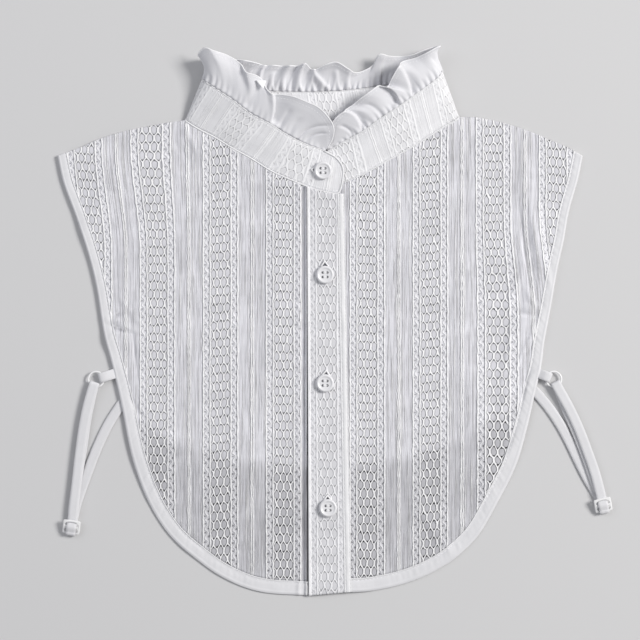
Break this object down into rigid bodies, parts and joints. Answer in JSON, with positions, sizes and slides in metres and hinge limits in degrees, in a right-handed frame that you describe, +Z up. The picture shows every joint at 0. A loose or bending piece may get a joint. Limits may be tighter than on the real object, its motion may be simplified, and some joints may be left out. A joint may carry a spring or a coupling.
{
  "type": "false collar",
  "caption": "White lace-striped cotton false collar, laid flat and buttoned, with a stand collar, gathered ruffle, bound edges and elastic side straps.",
  "frame": {"origin": "on the underside plane that rests on the table, at the centre front, about half way down the bib", "axes": "+Z up from the table through the layers, +Y from the hem towards the collar, +X towards the wearer's left side"},
  "size_m": [0.3715, 0.3669, 0.0205],
  "materials": {
    "lace_cotton": "woven cotton with lengthwise bands of openwork lace, braid and cord",
    "plain_cotton": "plain thin cotton with a narrow rolled hem",
    "binding_cotton": "folded plain cotton strip, edge stitched",
    "woven_elastic": "woven elastic tape",
    "white_nylon": "smooth nylon",
    "button_plastic": "smooth four-hole button"
  },
  "bodies": {
    "root": {"back_panel": "lace_cotton", "back_binding": "binding_cotton", "right_front_panel": "lace_cotton", "left_front_panel": "lace_cotton", "right_front_binding": "binding_cotton", "left_front_binding": "binding_cotton", "placket": "lace_cotton", "collar_band": "lace_cotton", "collar_ruffle": "plain_cotton", "collar_button": "button_plastic", "placket_button_top": "button_plastic", "placket_button_middle": "button_plastic", "placket_button_foot": "button_plastic", "right_strap": "woven_elastic", "left_strap": "woven_elastic", "right_strap_stub": "woven_elastic", "left_strap_stub": "woven_elastic", "right_strap_ring": "white_nylon", "left_strap_ring": "white_nylon", "right_strap_slider": "white_nylon", "left_strap_slider": "white_nylon"}
  },
  "joints": []
}
